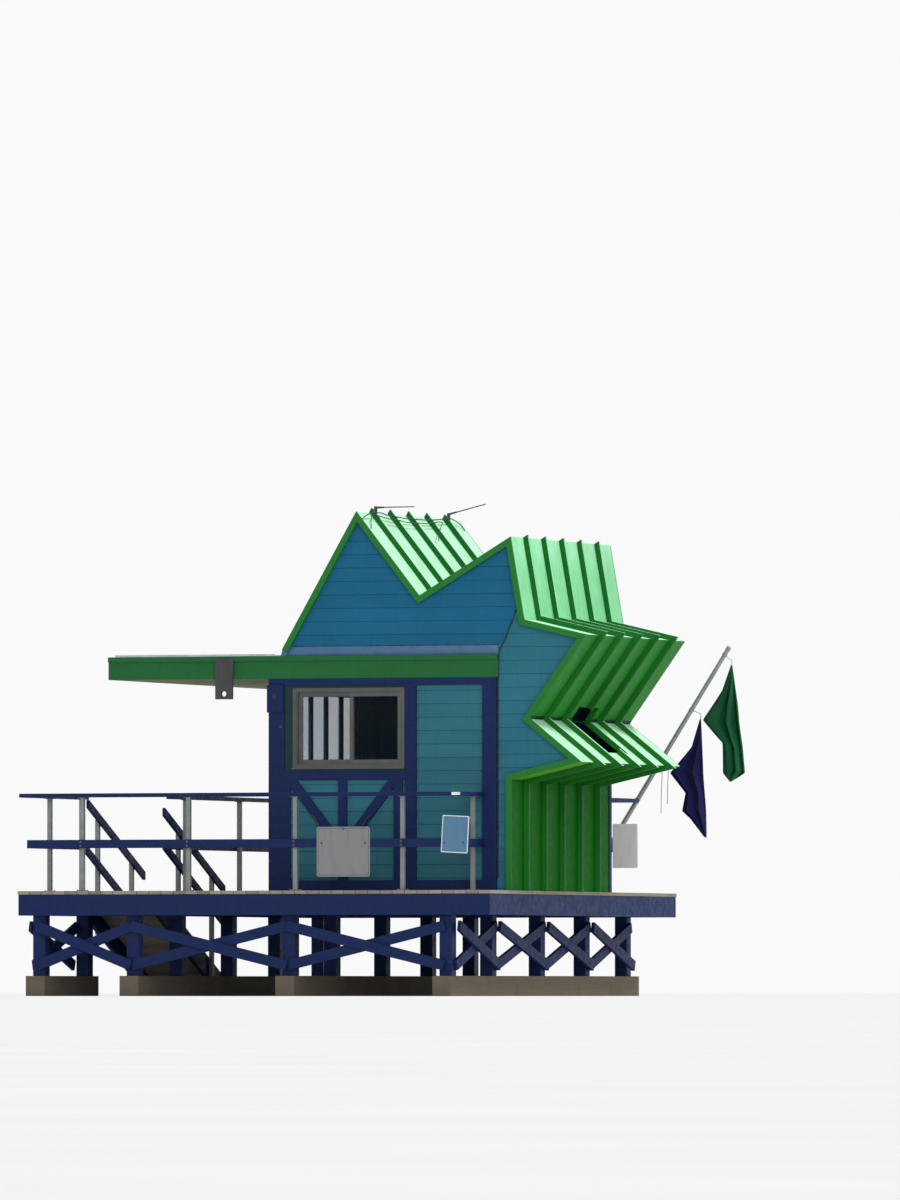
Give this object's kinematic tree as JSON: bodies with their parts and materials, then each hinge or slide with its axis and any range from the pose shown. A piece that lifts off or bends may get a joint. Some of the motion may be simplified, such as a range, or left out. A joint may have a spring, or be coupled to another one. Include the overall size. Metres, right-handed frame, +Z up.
{
  "type": "lifeguard tower",
  "caption": "Beach lifeguard hut with folded star-shaped green cladding and battens, flat cantilevered canopy and a railed deck with a ramp on skids.",
  "frame": {"origin": "underside of the middle skid, at half the length of the hut plus 0.7 m from its front edge", "axes": "+Z up, -Y towards the front with the window, +X towards the folded green side"},
  "size_m": [6.7344, 6.4952, 5.7031],
  "materials": {
    "deck_wood": "matt weathered",
    "skid_wood": "matt weathered",
    "navy_paint": "satin paint",
    "teal_paint": "satin paint",
    "green_paint": "satin paint",
    "dark_green_paint": "satin paint",
    "roof_sheet": "matt",
    "soffit_ply": "matt",
    "flashing_paint": "satin",
    "bare_board": "matt weathered",
    "window_alu": "satin",
    "trim_green": "satin paint",
    "glass": "clear",
    "post_steel": "satin galvanised",
    "pole_alu": "satin",
    "flag_green": "matt",
    "flag_purple": "matt",
    "sign_sheet": "satin",
    "rod_steel": "dull"
  },
  "bodies": {
    "root": {"skids": "skid_wood", "base_posts": "navy_paint", "base_braces": "navy_paint", "deck_frame": "navy_paint", "deck_boards": "deck_wood", "hut_floor": "deck_wood", "front_wall": "teal_paint", "back_wall": "teal_paint", "left_wall": "teal_paint", "roof_slope_left": "green_paint", "roof_slope_right": "green_paint", "roof_slope_inner": "green_paint", "upper_wall_panel": "green_paint", "upper_spike_top": "green_paint", "upper_spike_under": "green_paint", "lower_spike_top": "green_paint", "lower_spike_under": "green_paint", "lower_wall_panel": "green_paint", "batten_1": "green_paint", "batten_2": "green_paint", "batten_3": "green_paint", "batten_4": "green_paint", "batten_5": "green_paint", "front_fascia": "dark_green_paint", "back_fascia": "dark_green_paint", "canopy_fascia": "dark_green_paint", "canopy_roof": "roof_sheet", "canopy_soffit": "soffit_ply", "canopy_flashing": "flashing_paint", "fascia_bracket": "bare_board", "hut_framing": "navy_paint", "window_frame": "window_alu", "window_trim": "trim_green", "side_window_frame": "window_alu", "window_glass": "glass", "back_door": "navy_paint", "deck_rails": "navy_paint", "rail_posts": "post_steel", "ramp": "deck_wood", "ramp_rails": "navy_paint", "flag_pole": "pole_alu", "green_flag": "flag_green", "purple_flag": "flag_purple", "rail_signs": "sign_sheet", "ridge_rods": "rod_steel"}
  },
  "joints": []
}
